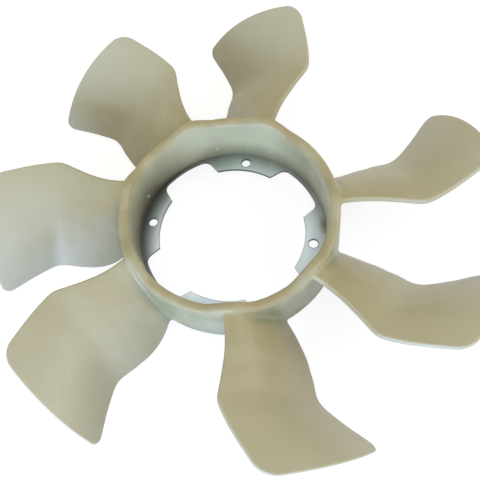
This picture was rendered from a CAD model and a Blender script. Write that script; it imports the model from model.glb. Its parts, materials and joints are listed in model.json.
import json
from math import cos, radians, sin

import bmesh
import bpy
from bpy.props import FloatProperty, FloatVectorProperty, PointerProperty
from mathutils import Matrix, Vector


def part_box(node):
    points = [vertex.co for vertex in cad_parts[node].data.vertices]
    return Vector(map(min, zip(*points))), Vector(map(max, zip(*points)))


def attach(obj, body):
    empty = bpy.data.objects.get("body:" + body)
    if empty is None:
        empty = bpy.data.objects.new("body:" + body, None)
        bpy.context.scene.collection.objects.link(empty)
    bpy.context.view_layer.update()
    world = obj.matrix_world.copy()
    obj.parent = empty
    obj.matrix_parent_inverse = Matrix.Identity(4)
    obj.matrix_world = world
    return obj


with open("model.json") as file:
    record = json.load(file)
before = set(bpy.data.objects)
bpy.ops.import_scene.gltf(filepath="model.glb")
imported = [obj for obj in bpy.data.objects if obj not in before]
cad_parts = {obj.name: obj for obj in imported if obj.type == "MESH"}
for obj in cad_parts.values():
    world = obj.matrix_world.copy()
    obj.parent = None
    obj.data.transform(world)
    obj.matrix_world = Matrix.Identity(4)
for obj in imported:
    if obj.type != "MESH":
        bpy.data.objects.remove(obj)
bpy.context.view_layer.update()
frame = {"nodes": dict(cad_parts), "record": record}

bl_info = {
    "name": "Engine cooling fan",
    "version": (1, 0, 0),
    "blender": (4, 5, 0),
    "location": "View3D > Sidebar > Cooling fan",
    "description": "Dresses a moulded nylon cooling fan and its steel mounting ring for a studio picture",
    "category": "Object",
}

# Sizes and places on the fan in metres; the record gives the bolt circle in millimetres
FLOOR_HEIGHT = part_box("fan_moulding")[0].z
BOLT_CIRCLE = next(m["dims"] for m in frame["record"]["mounts"] if m["name"] == "bolt_circle")
BOLT_CIRCLE_RADIUS = BOLT_CIRCLE["pcd_mm"] / 2000
BOLT_HOLE_RADIUS = BOLT_CIRCLE["hole_r_mm"] / 1000
PILOT_RADIUS = 0.0560
BORE_RADIUS = 0.0707
BORE_DRAFT = 0.0018
HUB_RADIUS = 0.0850
TIP_RADIUS = 0.1850
RIM_HEIGHT = 0.0385
STAIN_PLACE = (0.0690, 0.0165, 0.0)
STAIN_RADIUS = 0.0115

# Where the nylon changes: the place where a change begins and the place where it is full
BLADE_SPAN = (HUB_RADIUS, TIP_RADIUS)
TAN_REACH = (0.150, 0.090)
BELOW_RIM = (RIM_HEIGHT, RIM_HEIGHT - 0.009)
WITHIN_HUB = (HUB_RADIUS + 0.003, HUB_RADIUS - 0.002)
CLOUD_REACH = (HUB_RADIUS, HUB_RADIUS + 0.020)
WITHIN_CUP = (BORE_RADIUS + 0.0045, BORE_RADIUS + BORE_DRAFT)
LOW_IN_BORE = (BORE_RADIUS + 0.0026, BORE_RADIUS + 0.0008)
BACK_WALL = (0.020, 0.058)
AWAY_FROM_RIGHT = (0.050, 0.020)
LEFT_WALL = (-0.030, -0.066)
GRIME_RISE = (0.033, 0.002)
GRIME_CORNER = (0.016, 0.0)
GRIME_FADE = (-0.040, 0.0)

# Where the steel changes, in the same way
TOWARDS_WALL = (PILOT_RADIUS + 0.001, BORE_RADIUS - 0.002)
LEFT_LUG = (-0.020, -0.060)
HOLE_LINE = (BOLT_HOLE_RADIUS + 0.0009, BOLT_HOLE_RADIUS + 0.0002)
TIP_LINE = (PILOT_RADIUS + 0.0007, PILOT_RADIUS)
BESIDE_WALL = (0.0650, 0.0690)

# How upright the normal is, from the edge of the flat plate to a full cut face
CUT_FACE = (0.7, 0.3)

# How strong a change is at its beginning and where it is full
TAN_SHARE = (0.0, 0.75)
CLOUD_SHARE = (0.45, 0.25)
GRIME_FADE_SHARE = (0.45, 1.0)
GRIME_CORNER_SHARE = (0.0, 0.55)
NYLON_STAIN_SHARE = 0.6
STEEL_DIRT_SHARE = (0.38, 0.88)
HOLE_LINE_SHARE = (0.0, 0.8)
TIP_LINE_SHARE = (0.0, 0.7)
STEEL_STAIN_SHARE = (0.0, 0.9)
METAL_UNDER_STAIN = (1.0, 0.2)

# Range of the noise that patches and grain are spread over, and the roughness that the grain gives
TAN_PATCHES = (0.45, 0.7)
CLOUD_PATCHES = (0.42, 0.68)
DULL_PATCHES = (0.35, 0.7)
GRAIN_RANGE = (0.3, 0.7)
NYLON_ROUGHNESS = (0.34, 0.44)
MARK_ROUGHNESS = (0.3, 0.5)
STEEL_ROUGHNESS = (0.28, 0.40)
EVEN = (1.0, 1.0, 1.0)

# Specks in the stain to the metre, and where it fades, in stain radii
STAIN_SPECKS = 420.0
STAIN_FADE = (0.6, 1.3)

# Light inside the nylon, and the rolled grain of the steel
NYLON_IOR = 1.53
GLOW_COLOURS = (1.0, 0.8, 0.45)
GLOW_REACH = 0.003
STEEL_GRAIN = 0.0006
STEEL_GRAIN_DEPTH = 0.00002
GRAINS_PER_MARK = 6

# Ejector marks and stage
MARK_SEGMENTS = 24
MARK_RINGS = 12
FLOOR_RADIUS = 3.0
FLOOR_SEGMENTS = 96
FLOOR_TONES = ((0.36, 0.37, 0.48), (0.38, 0.39, 0.50))
FLOOR_PATCHES = 3.0
FLOOR_ROUGHNESS = 0.9
FLOOR_GLOW = 0.8
WHITE = (1.0, 1.0, 1.0)
LIGHT_DISTANCE = 1.2
WINDOW_STAND = (radians(-95), radians(12))
WINDOW_SIZE = (1.1, 0.5)
SIDE_STAND = (radians(5), radians(28))
SIDE_SIZE = (0.6, 0.5)
SENSOR_WIDTH = 36.0


# Settings

class FanNylonSettings(bpy.types.PropertyGroup):
    """Finish of the natural nylon moulding"""

    thick: FloatVectorProperty(
        name="Thick nylon",
        description="Colour of the thick hub, where the nylon is yellower",
        subtype="COLOR",
        default=(0.43, 0.385, 0.255),
    )
    thin: FloatVectorProperty(
        name="Thin nylon",
        description="Colour of the thin blade tips",
        subtype="COLOR",
        default=(0.535, 0.51, 0.43),
    )
    tan: FloatVectorProperty(
        name="Tan nylon",
        description="Colour of the aged, browner patches round the hub",
        subtype="COLOR",
        default=(0.40, 0.315, 0.18),
    )
    milk: FloatVectorProperty(
        name="Milky nylon",
        description="Colour of the paler clouds in the nylon",
        subtype="COLOR",
        default=(0.57, 0.55, 0.445),
    )
    clear: FloatVectorProperty(
        name="Clear nylon",
        description="Colour of the back of the cup's wall, where light comes through",
        subtype="COLOR",
        default=(0.66, 0.69, 0.52),
    )
    deep: FloatVectorProperty(
        name="Deep nylon",
        description="Colour of the hub's walls below the rim, where the nylon is thickest",
        subtype="COLOR",
        default=(0.30, 0.305, 0.195),
    )
    grime: FloatVectorProperty(
        name="Grime",
        description="Colour of the dirt low in the cup and up its left side",
        subtype="COLOR",
        default=(0.085, 0.072, 0.038),
    )
    cloud_size: FloatProperty(
        name="Cloud size",
        description="Width of the milky patches",
        subtype="DISTANCE",
        default=0.026,
    )
    skin_depth: FloatProperty(
        name="Skin depth",
        description="Depth of the fine waviness left by the mould",
        subtype="DISTANCE",
        default=0.00006,
    )
    stain: FloatVectorProperty(
        name="Rusty nylon",
        description="Colour of the nylon that rust water has run over",
        subtype="COLOR",
        default=(0.20, 0.17, 0.09),
    )
    white: FloatVectorProperty(
        name="White nylon",
        description="Colour of nylon that has been pressed white",
        subtype="COLOR",
        default=(0.86, 0.86, 0.80),
    )
    glow: FloatProperty(
        name="Glow",
        description="Share of the light that passes through the skin and comes out again",
        subtype="FACTOR",
        default=0.35,
    )


class FanSteelSettings(bpy.types.PropertyGroup):
    """Finish of the plated steel ring"""

    plate: FloatVectorProperty(
        name="Plating",
        description="Colour of the clean plating",
        subtype="COLOR",
        default=(0.74, 0.81, 0.82),
    )
    dull: FloatVectorProperty(
        name="Dull plating",
        description="Colour of the handled, dulled plating",
        subtype="COLOR",
        default=(0.50, 0.59, 0.60),
    )
    edge: FloatVectorProperty(
        name="Punched edge",
        description="Colour of the dark punched edges, and of the dirt towards the hub wall",
        subtype="COLOR",
        default=(0.10, 0.105, 0.10),
    )
    stain: FloatVectorProperty(
        name="Rust stain",
        description="Colour of the stain where steel meets nylon",
        subtype="COLOR",
        default=(0.24, 0.19, 0.11),
    )
    grain_length: FloatProperty(
        name="Grain length",
        description="Length of the rolling marks",
        subtype="DISTANCE",
        default=0.02,
    )


class FanMarkSettings(bpy.types.PropertyGroup):
    """Ejector marks inside the hub cup"""

    diameter: FloatProperty(
        name="Mark diameter",
        description="Width of one ejector mark",
        subtype="DISTANCE",
        default=0.0024,
    )
    proud: FloatProperty(
        name="Mark height",
        description="How far a mark stands out of the wall",
        subtype="DISTANCE",
        default=0.0006,
    )
    height: FloatProperty(
        name="Height on the wall",
        description="Height of the marks above the steel ring",
        subtype="DISTANCE",
        default=0.009,
    )
    bearings: FloatVectorProperty(
        name="Bearings",
        description="Where the marks lie round the axis",
        subtype="EULER",
        default=(radians(75.0), radians(109.5), radians(165.6)),
    )


class FanStageSettings(bpy.types.PropertyGroup):
    """Camera, light and floor"""

    camera_place: FloatVectorProperty(
        name="Camera place",
        description="Where the camera stands",
        subtype="TRANSLATION",
        default=(0.08829, -0.22054, 0.47386),
    )
    camera_turn: FloatVectorProperty(
        name="Camera turn",
        description="How the camera is turned",
        subtype="EULER",
        default=(radians(24.807), radians(9.984), radians(13.264)),
    )
    lens: FloatProperty(
        name="Lens",
        description="Focal length in millimetres",
        default=51.64,
    )
    shift_x: FloatProperty(
        name="Sideways shift",
        description="How far the picture is cut out to the right of the lens axis, as a share of its width",
        default=0.1474,
    )
    shift_y: FloatProperty(
        name="Upward shift",
        description="How far the picture is cut out above the lens axis, as a share of its width",
        default=0.0248,
    )
    window_tint: FloatVectorProperty(
        name="Window light",
        description="Colour of the cool window light",
        subtype="COLOR",
        default=(0.49, 0.68, 1.0),
    )
    room_tint: FloatVectorProperty(
        name="Room light",
        description="Colour of the warm light from the room",
        subtype="COLOR",
        default=(1.0, 0.965, 0.66),
    )
    window_power: FloatProperty(
        name="Window power",
        description="Strength of the wide, low window light in front",
        subtype="POWER",
        default=14.8,
    )
    side_power: FloatProperty(
        name="Side power",
        description="Strength of the small light on the right",
        subtype="POWER",
        default=3.0,
    )
    room_strength: FloatProperty(
        name="Room strength",
        description="Strength of the light from all round",
        default=0.69,
    )


# Shader helpers

def add_node(tree, kind, place, **values):
    """A node at a place in the tree, with its plain settings."""
    node = tree.nodes.new(kind)
    node.location = place
    for name, value in values.items():
        setattr(node, name, value)
    return node


def mix_colour(tree, place, share, first, second):
    """A colour between two, by a socket that gives the share of the second."""
    mix = add_node(tree, "ShaderNodeMix", place, data_type="RGBA")
    tree.links.new(share, mix.inputs["Factor"])
    for socket, value in (("A", first), ("B", second)):
        target = next(s for s in mix.inputs if s.name == socket and s.type == "RGBA")
        if isinstance(value, bpy.types.NodeSocket):
            tree.links.new(value, target)
        else:
            target.default_value = (*value, 1.0)
    return next(s for s in mix.outputs if s.type == "RGBA")


def ramp(tree, place, value, span, to=(0.0, 1.0)):
    """A value carried from one range to another."""
    node = add_node(tree, "ShaderNodeMapRange", place)
    for socket, number in zip(("From Min", "From Max", "To Min", "To Max"), (*span, *to)):
        node.inputs[socket].default_value = number
    tree.links.new(value, node.inputs["Value"])
    return node.outputs["Result"]


def combine(tree, place, operation, first, second):
    """Two values worked into one; the second may be a plain number."""
    node = add_node(tree, "ShaderNodeMath", place, operation=operation)
    tree.links.new(first, node.inputs[0])
    if isinstance(second, bpy.types.NodeSocket):
        tree.links.new(second, node.inputs[1])
    else:
        node.inputs[1].default_value = second
    return node.outputs["Value"]


def size_without_sign(tree, place, value):
    """A value with its minus sign taken off."""
    node = add_node(tree, "ShaderNodeMath", place, operation="ABSOLUTE")
    tree.links.new(value, node.inputs[0])
    return node.outputs["Value"]


def bump(tree, place, height, distance):
    """A bump from a height between 0 and 1, over a real distance."""
    node = add_node(tree, "ShaderNodeBump", place)
    node.inputs["Distance"].default_value = distance
    node.inputs["Strength"].default_value = 1.0
    tree.links.new(height, node.inputs["Height"])
    return node.outputs["Normal"]


def new_group(name, inputs, outputs):
    """An empty shader node group with named sockets, and its input and output nodes."""
    group = bpy.data.node_groups.new(name, "ShaderNodeTree")
    for socket, kind in inputs:
        group.interface.new_socket(socket, in_out="INPUT", socket_type=kind)
    for socket, kind in outputs:
        group.interface.new_socket(socket, in_out="OUTPUT", socket_type=kind)
    given = add_node(group, "NodeGroupInput", (-900, 0))
    made = add_node(group, "NodeGroupOutput", (700, 0))
    return group, given, made


def patches_group():
    """Soft patches and fine grain on object coordinates, used by all three finishes of the fan."""
    group, given, made = new_group(
        "soft_patches",
        [
            ("Patch Size", "NodeSocketFloat"),
            ("Grain Size", "NodeSocketFloat"),
            ("Stretch", "NodeSocketVector"),
        ],
        [("Patch", "NodeSocketFloat"), ("Grain", "NodeSocketFloat")],
    )
    links = group.links
    place = add_node(group, "ShaderNodeTexCoord", (-900, 240))
    stretched = add_node(group, "ShaderNodeVectorMath", (-680, 200), operation="MULTIPLY")
    links.new(place.outputs["Object"], stretched.inputs[0])
    links.new(given.outputs["Stretch"], stretched.inputs[1])
    for output, detail, height in (("Patch", 3.0, 120), ("Grain", 2.0, -140)):
        scale = add_node(group, "ShaderNodeMath", (-460, height), operation="DIVIDE")
        scale.inputs[0].default_value = 1.0
        links.new(given.outputs[output + " Size"], scale.inputs[1])
        noise = add_node(group, "ShaderNodeTexNoise", (-240, height))
        noise.inputs["Detail"].default_value = detail
        noise.inputs["Roughness"].default_value = 0.5
        links.new(stretched.outputs["Vector"], noise.inputs["Vector"])
        links.new(scale.outputs["Value"], noise.inputs["Scale"])
        links.new(noise.outputs["Fac"], made.inputs[output])
    return group


def spot_group():
    """A soft spot round one point, broken up by noise."""
    group, given, made = new_group(
        "soft_spot",
        [
            ("Centre", "NodeSocketVector"),
            ("Radius", "NodeSocketFloat"),
            ("Ragged", "NodeSocketFloat"),
        ],
        [("Spot", "NodeSocketFloat")],
    )
    links = group.links
    place = add_node(group, "ShaderNodeTexCoord", (-900, 240))
    noise = add_node(group, "ShaderNodeTexNoise", (-680, -80))
    noise.inputs["Scale"].default_value = STAIN_SPECKS
    noise.inputs["Detail"].default_value = 3.0
    links.new(place.outputs["Object"], noise.inputs["Vector"])
    away = add_node(group, "ShaderNodeVectorMath", (-680, 200), operation="DISTANCE")
    links.new(place.outputs["Object"], away.inputs[0])
    links.new(given.outputs["Centre"], away.inputs[1])
    share = combine(group, (-460, 160), "DIVIDE", away.outputs["Value"], given.outputs["Radius"])
    rough = combine(group, (-460, -80), "MULTIPLY", noise.outputs["Fac"], given.outputs["Ragged"])
    total = combine(group, (-240, 80), "ADD", share, rough)
    links.new(ramp(group, (0, 80), total, STAIN_FADE, to=(1.0, 0.0)), made.inputs["Spot"])
    return group


def hub_place_group():
    """Where a point lies: its distance from the axis of turning and its three coordinates."""
    group, _, made = new_group(
        "hub_place", [], [(name, "NodeSocketFloat") for name in ("Radius", "Sideways", "Back", "Height")]
    )
    links = group.links
    place = add_node(group, "ShaderNodeTexCoord", (-680, 0))
    flat = add_node(group, "ShaderNodeVectorMath", (-460, 120), operation="MULTIPLY")
    flat.inputs[1].default_value = (1.0, 1.0, 0.0)
    links.new(place.outputs["Object"], flat.inputs[0])
    length = add_node(group, "ShaderNodeVectorMath", (-240, 120), operation="LENGTH")
    links.new(flat.outputs["Vector"], length.inputs[0])
    links.new(length.outputs["Value"], made.inputs["Radius"])
    axes = add_node(group, "ShaderNodeSeparateXYZ", (-460, -120))
    links.new(place.outputs["Object"], axes.inputs["Vector"])
    for axis, output in (("X", "Sideways"), ("Y", "Back"), ("Z", "Height")):
        links.new(axes.outputs[axis], made.inputs[output])
    return group


GROUPS = {"soft_patches": patches_group, "soft_spot": spot_group, "hub_place": hub_place_group}


def use_group(tree, name, place, **values):
    """One of the shared groups, built once, in a material with its own values."""
    group = bpy.data.node_groups.get(name) or GROUPS[name]()
    node = add_node(tree, "ShaderNodeGroup", place, node_tree=group)
    for socket, value in values.items():
        node.inputs[socket.replace("_", " ")].default_value = value
    return node


def new_material(name):
    """A material with its Principled BSDF and output, and nothing else."""
    material = bpy.data.materials.new(name)
    material.use_nodes = True
    tree = material.node_tree
    tree.nodes.clear()
    shader = add_node(tree, "ShaderNodeBsdfPrincipled", (300, 0))
    output = add_node(tree, "ShaderNodeOutputMaterial", (600, 0))
    tree.links.new(shader.outputs["BSDF"], output.inputs["Surface"])
    return material, tree, shader


def grain_skin(tree, shader, grain, roughness, depth):
    """An uneven gloss and a fine bump, both from one grain."""
    gloss = ramp(tree, (40, -100), grain, GRAIN_RANGE, to=roughness)
    tree.links.new(gloss, shader.inputs["Roughness"])
    tree.links.new(bump(tree, (40, -420), grain, depth), shader.inputs["Normal"])


# Finishes

def aged_tone(tree, settings, hub):
    """Yellow at the hub and paler towards the tips, with tan patches round the hub."""
    radius = hub.outputs["Radius"]
    span = ramp(tree, (-860, 500), radius, BLADE_SPAN)
    tone = mix_colour(tree, (-620, 460), span, settings.thick, settings.thin)
    aged = use_group(tree, "soft_patches", (-1100, 700), Patch_Size=0.055, Stretch=(1.0, 1.0, 1.6))
    near_hub = ramp(tree, (-860, 900), radius, TAN_REACH, to=TAN_SHARE)
    patchy = ramp(tree, (-860, 740), aged.outputs["Patch"], TAN_PATCHES)
    ageing = combine(tree, (-620, 800), "MULTIPLY", near_hub, patchy)
    return mix_colour(tree, (-400, 560), ageing, tone, settings.tan)


def wall_tone(tree, settings, hub, tone):
    """Deeper on the hub's walls below the rim, and clearer low on the back wall of the cup."""
    radius = hub.outputs["Radius"]
    below_rim = ramp(tree, (-860, 1100), hub.outputs["Height"], BELOW_RIM)
    within_hub = ramp(tree, (-860, 1260), radius, WITHIN_HUB)
    wall = combine(tree, (-620, 1180), "MULTIPLY", below_rim, within_hub)
    walled = mix_colour(tree, (-280, 460), wall, tone, settings.deep)
    lower = ramp(tree, (-860, -80), radius, LOW_IN_BORE)
    back = ramp(tree, (-860, -160), hub.outputs["Back"], BACK_WALL)
    middle = ramp(tree, (-860, -240), hub.outputs["Sideways"], AWAY_FROM_RIGHT)
    back_wall = combine(tree, (-700, -200), "MULTIPLY", back, middle)
    lit = combine(tree, (-620, -60), "MULTIPLY", lower, back_wall)
    return mix_colour(tree, (-180, 360), lit, walled, settings.clear)


def cup_dirt(tree, hub):
    """Share of dirt on the cup's wall: in the corner all round, and higher up on the left."""
    height = hub.outputs["Height"]
    within_cup = ramp(tree, (-860, 0), hub.outputs["Radius"], WITHIN_CUP)
    left = ramp(tree, (-860, -320), hub.outputs["Sideways"], LEFT_WALL)
    rise = ramp(tree, (-860, -480), height, GRIME_RISE)
    fade = ramp(tree, (-860, -560), hub.outputs["Back"], GRIME_FADE, to=GRIME_FADE_SHARE)
    risen = combine(tree, (-700, -500), "MULTIPLY", rise, fade)
    side = combine(tree, (-620, -400), "MULTIPLY", left, risen)
    corner = ramp(tree, (-860, -640), height, GRIME_CORNER, to=GRIME_CORNER_SHARE)
    either = combine(tree, (-500, -500), "MAXIMUM", side, corner)
    return combine(tree, (-400, -300), "MULTIPLY", within_cup, either)


def natural_nylon(settings):
    """Undyed nylon: yellow where thick, with milky clouds, a satin skin and grime in the cup."""
    material, tree, shader = new_material("natural_nylon")
    hub = use_group(tree, "hub_place", (-1100, 400))
    patches = use_group(
        tree, "soft_patches", (-1100, 100),
        Patch_Size=settings.cloud_size, Grain_Size=0.004, Stretch=EVEN,
    )
    stain = use_group(
        tree, "soft_spot", (-1100, -200), Centre=STAIN_PLACE, Radius=STAIN_RADIUS, Ragged=0.9
    )
    walled = wall_tone(tree, settings, hub, aged_tone(tree, settings, hub))
    strength = ramp(tree, (-860, 360), hub.outputs["Radius"], CLOUD_REACH, to=CLOUD_SHARE)
    patchy = ramp(tree, (-860, 200), patches.outputs["Patch"], CLOUD_PATCHES)
    cloud = combine(tree, (-620, 280), "MULTIPLY", strength, patchy)
    milky = mix_colour(tree, (-120, 360), cloud, walled, settings.milk)
    dirty = mix_colour(tree, (-60, 260), cup_dirt(tree, hub), milky, settings.grime)
    brown = combine(tree, (-400, -100), "MULTIPLY", stain.outputs["Spot"], NYLON_STAIN_SHARE)
    stained = mix_colour(tree, (40, 160), brown, dirty, settings.stain)
    tree.links.new(stained, shader.inputs["Base Color"])
    grain_skin(tree, shader, patches.outputs["Grain"], NYLON_ROUGHNESS, settings.skin_depth)
    shader.inputs["IOR"].default_value = NYLON_IOR
    shader.inputs["Subsurface Weight"].default_value = settings.glow
    shader.inputs["Subsurface Radius"].default_value = GLOW_COLOURS
    shader.inputs["Subsurface Scale"].default_value = GLOW_REACH
    return material


def scuffed_nylon(settings):
    """Nylon turned white where an ejector pin has pressed on it."""
    material, tree, shader = new_material("scuffed_nylon")
    patches = use_group(
        tree, "soft_patches", (-700, 100), Patch_Size=0.001, Grain_Size=0.0003, Stretch=EVEN
    )
    tone = mix_colour(tree, (-240, 100), patches.outputs["Patch"], settings.milk, settings.white)
    tree.links.new(tone, shader.inputs["Base Color"])
    gloss = ramp(tree, (0, -180), patches.outputs["Grain"], GRAIN_RANGE, to=MARK_ROUGHNESS)
    tree.links.new(gloss, shader.inputs["Roughness"])
    return material


def from_bolt_hole(tree, place, hub):
    """Distance to the axis of the nearest bolt hole, with the four lugs folded onto one."""
    x, y = place
    across = size_without_sign(tree, (x, y), hub.outputs["Sideways"])
    along = size_without_sign(tree, (x, y - 160), hub.outputs["Back"])
    outward = combine(tree, (x + 200, y), "MAXIMUM", across, along)
    past_circle = combine(tree, (x + 400, y), "SUBTRACT", outward, BOLT_CIRCLE_RADIUS)
    beside = combine(tree, (x + 400, y - 160), "MINIMUM", across, along)
    offset = add_node(tree, "ShaderNodeCombineXYZ", (x + 600, y))
    tree.links.new(past_circle, offset.inputs["X"])
    tree.links.new(beside, offset.inputs["Y"])
    length = add_node(tree, "ShaderNodeVectorMath", (x + 800, y), operation="LENGTH")
    tree.links.new(offset.outputs["Vector"], length.inputs[0])
    return length.outputs["Value"]


def punched_edges(tree, hub):
    """Mask of the cut faces, and of the dark lines round the holes and along the lugs' tips."""
    facing = add_node(tree, "ShaderNodeNewGeometry", (-1100, -460))
    axes = add_node(tree, "ShaderNodeSeparateXYZ", (-860, -460))
    tree.links.new(facing.outputs["Normal"], axes.inputs["Vector"])
    upright = size_without_sign(tree, (-620, -460), axes.outputs["Z"])
    cut_face = ramp(tree, (-400, -460), upright, CUT_FACE)
    to_hole = from_bolt_hole(tree, (-1300, -700), hub)
    hole_line = ramp(tree, (-400, -620), to_hole, HOLE_LINE, to=HOLE_LINE_SHARE)
    tip_line = ramp(tree, (-400, -780), hub.outputs["Radius"], TIP_LINE, to=TIP_LINE_SHARE)
    lines = combine(tree, (-280, -700), "MAXIMUM", hole_line, tip_line)
    return combine(tree, (-280, -560), "MAXIMUM", cut_face, lines)


def plated_steel(settings):
    """Plated sheet steel with rolling marks, dark punched edges and a rust stain beside the nylon."""
    material, tree, shader = new_material("plated_steel")
    hub = use_group(tree, "hub_place", (-1100, 400))
    rolled = (1.0, GRAINS_PER_MARK * STEEL_GRAIN / settings.grain_length, 1.0)
    patches = use_group(
        tree, "soft_patches", (-1100, 100), Patch_Size=0.03, Grain_Size=STEEL_GRAIN, Stretch=rolled
    )
    stain = use_group(
        tree, "soft_spot", (-1100, -200), Centre=STAIN_PLACE, Radius=STAIN_RADIUS, Ragged=1.1
    )
    dull = ramp(tree, (-860, 200), patches.outputs["Patch"], DULL_PATCHES)
    plating = mix_colour(tree, (-620, 300), dull, settings.plate, settings.dull)
    near_wall = ramp(tree, (-860, 400), hub.outputs["Radius"], TOWARDS_WALL)
    share = ramp(tree, (-860, 560), hub.outputs["Sideways"], LEFT_LUG, to=STEEL_DIRT_SHARE)
    dirt = combine(tree, (-620, 480), "MULTIPLY", near_wall, share)
    handled = mix_colour(tree, (-400, 300), dirt, plating, settings.edge)
    cut = mix_colour(tree, (-180, 240), punched_edges(tree, hub), handled, settings.edge)
    beside_wall = ramp(tree, (-860, -100), hub.outputs["Radius"], BESIDE_WALL, to=STEEL_STAIN_SHARE)
    brown = combine(tree, (-400, -100), "MULTIPLY", stain.outputs["Spot"], beside_wall)
    stained = mix_colour(tree, (40, 160), brown, cut, settings.stain)
    tree.links.new(stained, shader.inputs["Base Color"])
    metal = ramp(tree, (40, -260), brown, (0.0, 1.0), to=METAL_UNDER_STAIN)
    tree.links.new(metal, shader.inputs["Metallic"])
    grain_skin(tree, shader, patches.outputs["Grain"], STEEL_ROUGHNESS, STEEL_GRAIN_DEPTH)
    return material


def seen_rays(tree, place):
    """1 for what the camera sees, straight, mirrored or through glass, and 0 for the light it gives."""
    x, y = place
    path = add_node(tree, "ShaderNodeLightPath", place)
    straight_or_mirrored = combine(
        tree, (x + 200, y), "MAXIMUM", path.outputs["Is Camera Ray"], path.outputs["Is Glossy Ray"]
    )
    return combine(
        tree, (x + 400, y), "MAXIMUM", straight_or_mirrored, path.outputs["Is Transmission Ray"]
    )


def white_sweep():
    """Pale floor that the camera sees as white, with the fan's shadow left on it."""
    material, tree, shader = new_material("white_sweep")
    grain = add_node(tree, "ShaderNodeTexNoise", (-500, 100))
    grain.inputs["Scale"].default_value = FLOOR_PATCHES
    tone = mix_colour(tree, (-240, 100), grain.outputs["Fac"], *FLOOR_TONES)
    tree.links.new(tone, shader.inputs["Base Color"])
    shader.inputs["Roughness"].default_value = FLOOR_ROUGHNESS
    glow = combine(tree, (0, -200), "MULTIPLY", seen_rays(tree, (-500, -200)), FLOOR_GLOW)
    shader.inputs["Emission Color"].default_value = (*WHITE, 1.0)
    tree.links.new(glow, shader.inputs["Emission Strength"])
    return material


# Pieces

def dress(node_name, material):
    """Gives a CAD node its finish."""
    mesh = frame["nodes"][node_name].data
    mesh.materials.clear()
    mesh.materials.append(material)


def new_piece(name, shape, material):
    """Turns a bmesh into a piece that rides with the fan."""
    bmesh.ops.recalc_face_normals(shape, faces=shape.faces)
    mesh = bpy.data.meshes.new(name)
    shape.to_mesh(mesh)
    shape.free()
    mesh.materials.append(material)
    for face in mesh.polygons:
        face.use_smooth = True
    piece = bpy.data.objects.new(name, mesh)
    bpy.context.scene.collection.objects.link(piece)
    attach(piece, "root")


class FAN_OT_dress_moulding(bpy.types.Operator):
    """Gives the nylon moulding its milky satin finish"""

    bl_idname = "cooling_fan.dress_moulding"
    bl_label = "Nylon moulding"

    def execute(self, context):
        dress("fan_moulding", natural_nylon(context.scene.fan_nylon))
        return {"FINISHED"}


class FAN_OT_dress_ring(bpy.types.Operator):
    """Gives the steel mounting ring its plated finish"""

    bl_idname = "cooling_fan.dress_ring"
    bl_label = "Steel mounting ring"

    def execute(self, context):
        dress("steel_mounting_ring", plated_steel(context.scene.fan_steel))
        return {"FINISHED"}


class FAN_OT_add_ejector_marks(bpy.types.Operator):
    """Adds the small round ejector marks on the wall of the hub cup"""

    bl_idname = "cooling_fan.add_ejector_marks"
    bl_label = "Ejector marks"

    def execute(self, context):
        marks = context.scene.fan_marks
        shape = bmesh.new()
        wall = BORE_RADIUS + BORE_DRAFT * marks.height / RIM_HEIGHT
        flatten = Matrix.Diagonal((1, 1, 2 * marks.proud / marks.diameter, 1))
        for bearing in marks.bearings:
            place = Vector((wall * cos(bearing), wall * sin(bearing), marks.height))
            inward = Vector((-cos(bearing), -sin(bearing), 0))
            turn = inward.to_track_quat("Z", "Y").to_matrix().to_4x4()
            made = bmesh.ops.create_uvsphere(
                shape,
                u_segments=MARK_SEGMENTS,
                v_segments=MARK_RINGS,
                radius=marks.diameter / 2,
                matrix=Matrix.Translation(place) @ turn @ flatten,
            )
            if not made["verts"]:
                raise RuntimeError("an ejector mark has no shape")
        new_piece("ejector_marks", shape, scuffed_nylon(context.scene.fan_nylon))
        return {"FINISHED"}


def add_lamp(name, stand, size, power, tint):
    """A soft rectangular light, hidden from the camera, that stands at a bearing and a height angle."""
    bearing, height = stand
    light = bpy.data.lights.new(name, "AREA")
    light.shape = "RECTANGLE"
    light.size, light.size_y = size
    light.energy = power
    light.color = tint
    lamp = bpy.data.objects.new(name, light)
    away = Vector((cos(height) * cos(bearing), cos(height) * sin(bearing), sin(height)))
    lamp.location = away * LIGHT_DISTANCE
    lamp.rotation_euler = (-away).to_track_quat("-Z", "Y").to_euler()
    lamp.visible_camera = False
    bpy.context.scene.collection.objects.link(lamp)


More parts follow.
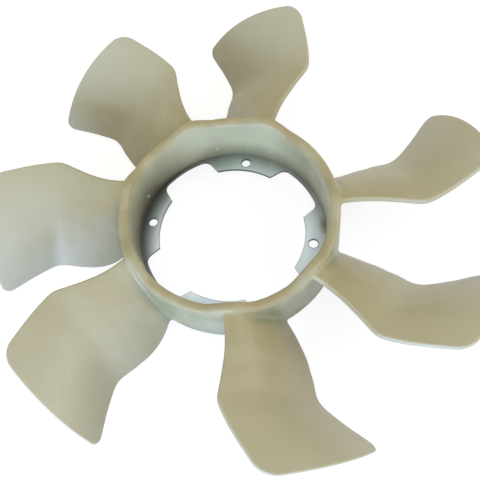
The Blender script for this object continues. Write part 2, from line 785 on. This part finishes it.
class FAN_OT_set_stage(bpy.types.Operator):
    """Sets the floor, the window and room light, and the camera"""

    bl_idname = "cooling_fan.set_stage"
    bl_label = "Stage"

    def execute(self, context):
        stage = context.scene.fan_stage
        self.lay_floor()
        self.light_room(context, stage)
        self.place_camera(context, stage)
        context.scene.view_settings.view_transform = "Standard"
        return {"FINISHED"}

    def lay_floor(self):
        shape = bmesh.new()
        bmesh.ops.create_circle(shape, cap_ends=True, segments=FLOOR_SEGMENTS, radius=FLOOR_RADIUS)
        bmesh.ops.translate(shape, verts=shape.verts, vec=(0, 0, FLOOR_HEIGHT))
        mesh = bpy.data.meshes.new("floor")
        shape.to_mesh(mesh)
        shape.free()
        mesh.materials.append(white_sweep())
        floor = bpy.data.objects.new("floor", mesh)
        bpy.context.scene.collection.objects.link(floor)

    def light_room(self, context, stage):
        world = bpy.data.worlds.new("room")
        context.scene.world = world
        world.use_nodes = True
        tree = world.node_tree
        tree.nodes.clear()
        room = add_node(tree, "ShaderNodeBackground", (0, 120))
        room.inputs["Color"].default_value = (*stage.room_tint, 1.0)
        room.inputs["Strength"].default_value = stage.room_strength
        white = add_node(tree, "ShaderNodeBackground", (0, -60))
        white.inputs["Color"].default_value = (*WHITE, 1.0)
        choice = add_node(tree, "ShaderNodeMixShader", (240, 60))
        tree.links.new(seen_rays(tree, (-600, 200)), choice.inputs["Fac"])
        tree.links.new(room.outputs["Background"], choice.inputs[1])
        tree.links.new(white.outputs["Background"], choice.inputs[2])
        output = add_node(tree, "ShaderNodeOutputWorld", (480, 60))
        tree.links.new(choice.outputs["Shader"], output.inputs["Surface"])
        add_lamp("window", WINDOW_STAND, WINDOW_SIZE, stage.window_power, stage.window_tint)
        add_lamp("side", SIDE_STAND, SIDE_SIZE, stage.side_power, WHITE)

    def place_camera(self, context, stage):
        camera = bpy.data.cameras.new("camera")
        camera.sensor_width = SENSOR_WIDTH
        camera.lens = stage.lens
        camera.shift_x = stage.shift_x
        camera.shift_y = stage.shift_y
        viewer = bpy.data.objects.new("camera", camera)
        viewer.location = stage.camera_place
        viewer.rotation_euler = stage.camera_turn
        context.scene.collection.objects.link(viewer)
        context.scene.camera = viewer


class FAN_PT_panel(bpy.types.Panel):
    """Lists the steps that dress the fan"""

    bl_idname = "FAN_PT_panel"
    bl_label = "Cooling fan"
    bl_space_type = "VIEW_3D"
    bl_region_type = "UI"
    bl_category = "Cooling fan"

    def draw(self, context):
        for operator in OPERATORS:
            self.layout.operator(operator.bl_idname)


SETTINGS = {
    "fan_nylon": FanNylonSettings,
    "fan_steel": FanSteelSettings,
    "fan_marks": FanMarkSettings,
    "fan_stage": FanStageSettings,
}
OPERATORS = (
    FAN_OT_dress_moulding,
    FAN_OT_dress_ring,
    FAN_OT_add_ejector_marks,
    FAN_OT_set_stage,
)


def register():
    for name, settings in SETTINGS.items():
        bpy.utils.register_class(settings)
        setattr(bpy.types.Scene, name, PointerProperty(type=settings))
    for kind in (*OPERATORS, FAN_PT_panel):
        bpy.utils.register_class(kind)


def unregister():
    for kind in (FAN_PT_panel, *reversed(OPERATORS)):
        bpy.utils.unregister_class(kind)
    for name, settings in reversed(SETTINGS.items()):
        delattr(bpy.types.Scene, name)
        bpy.utils.unregister_class(settings)


def main():
    register()
    bpy.ops.cooling_fan.dress_moulding()
    bpy.ops.cooling_fan.dress_ring()
    bpy.ops.cooling_fan.add_ejector_marks()
    bpy.ops.cooling_fan.set_stage()


if __name__ == "__main__":
    main()
